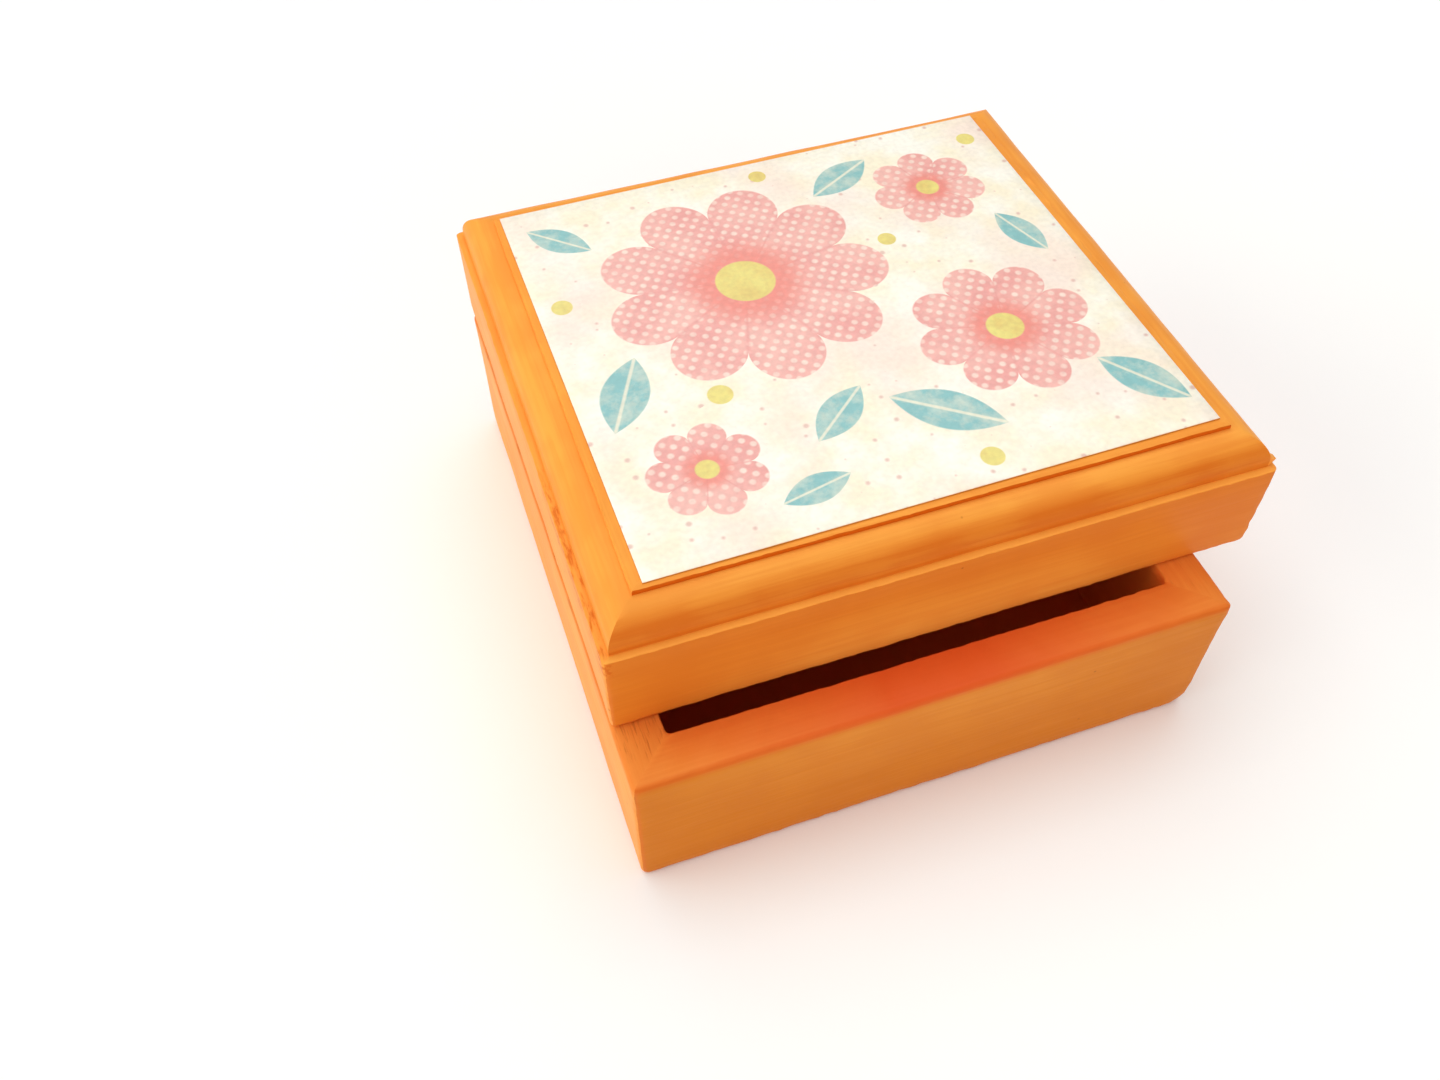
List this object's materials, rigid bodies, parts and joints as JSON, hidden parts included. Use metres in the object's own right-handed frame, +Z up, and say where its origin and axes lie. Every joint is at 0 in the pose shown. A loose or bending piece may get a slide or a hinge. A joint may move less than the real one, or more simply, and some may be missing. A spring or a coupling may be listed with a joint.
{
  "type": "wooden money box",
  "caption": "Low painted wooden money box: mitred tray and a loose thick lid with a moulded edge and picture panel, lying a quarter turn round so that a slot stays open at the front.",
  "frame": {"origin": "centre of the tray's underside", "axes": "+Z up, +Y from the front, where the slot is, to the back, +X to the right seen from the front"},
  "size_m": [0.1088, 0.1109, 0.0529],
  "materials": {
    "orange_painted_wood": "brushed satin paint over sanded pine",
    "birch_plywood": "sanded, unpainted underneath",
    "varnished_print": "printed paper under gloss varnish"
  },
  "bodies": {
    "tray": {"base_front_wall": "orange_painted_wood", "base_back_wall": "orange_painted_wood", "base_left_wall": "orange_painted_wood", "base_right_wall": "orange_painted_wood", "base_bottom_panel": "birch_plywood"},
    "lid": {"lid_front_rail": "orange_painted_wood", "lid_back_rail": "orange_painted_wood", "lid_left_rail": "orange_painted_wood", "lid_right_rail": "orange_painted_wood", "lid_top_board": "orange_painted_wood", "lid_picture_panel": "varnished_print"}
  },
  "joints": [
    {"name": "lid_lift", "type": "slide", "parent": "tray", "child": "lid", "axis": [0, 0, 1], "range_m": [0, 0.06]}
  ]
}
